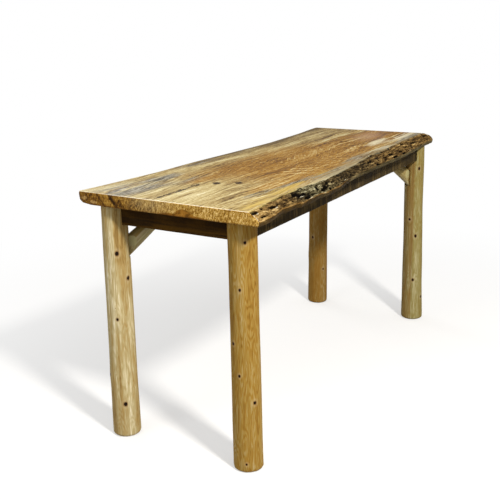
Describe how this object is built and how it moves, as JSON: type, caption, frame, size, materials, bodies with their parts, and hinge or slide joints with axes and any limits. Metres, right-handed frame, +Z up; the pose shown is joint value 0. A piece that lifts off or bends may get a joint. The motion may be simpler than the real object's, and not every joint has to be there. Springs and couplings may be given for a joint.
{
  "type": "slab bar table",
  "caption": "Bar-height rustic table with a thick live-edge wood slab on peeled log legs, a dark rough-sawn apron frame let into the leg tops, and pale diagonal knee braces.",
  "frame": {"origin": "on the floor, under the middle of the slab's bounding box", "axes": "+Z up, +X along the slab's length towards its narrower end, -Y towards the front with the wide sloping live edge"},
  "size_m": [2.1, 0.839, 1.067],
  "materials": {
    "slab_wood": "clear gloss",
    "log_wood": "satin",
    "brace_wood": "satin",
    "apron_wood": "matte",
    "plated_steel": "satin"
  },
  "bodies": {
    "root": {"slab_top": "slab_wood", "leg_front_left": "log_wood", "leg_front_right": "log_wood", "leg_back_left": "log_wood", "leg_back_right": "log_wood", "brace_front_left": "brace_wood", "brace_front_right": "brace_wood", "brace_back_left": "brace_wood", "brace_back_right": "brace_wood", "apron_front": "apron_wood", "apron_back": "apron_wood", "apron_left": "apron_wood", "apron_right": "apron_wood", "leg_lag_bolts": "plated_steel", "leg_lag_washers": "plated_steel", "slab_screws": "plated_steel", "slab_screw_washers": "plated_steel", "brace_leg_screws": "plated_steel", "brace_slab_screws": "plated_steel"}
  },
  "joints": []
}
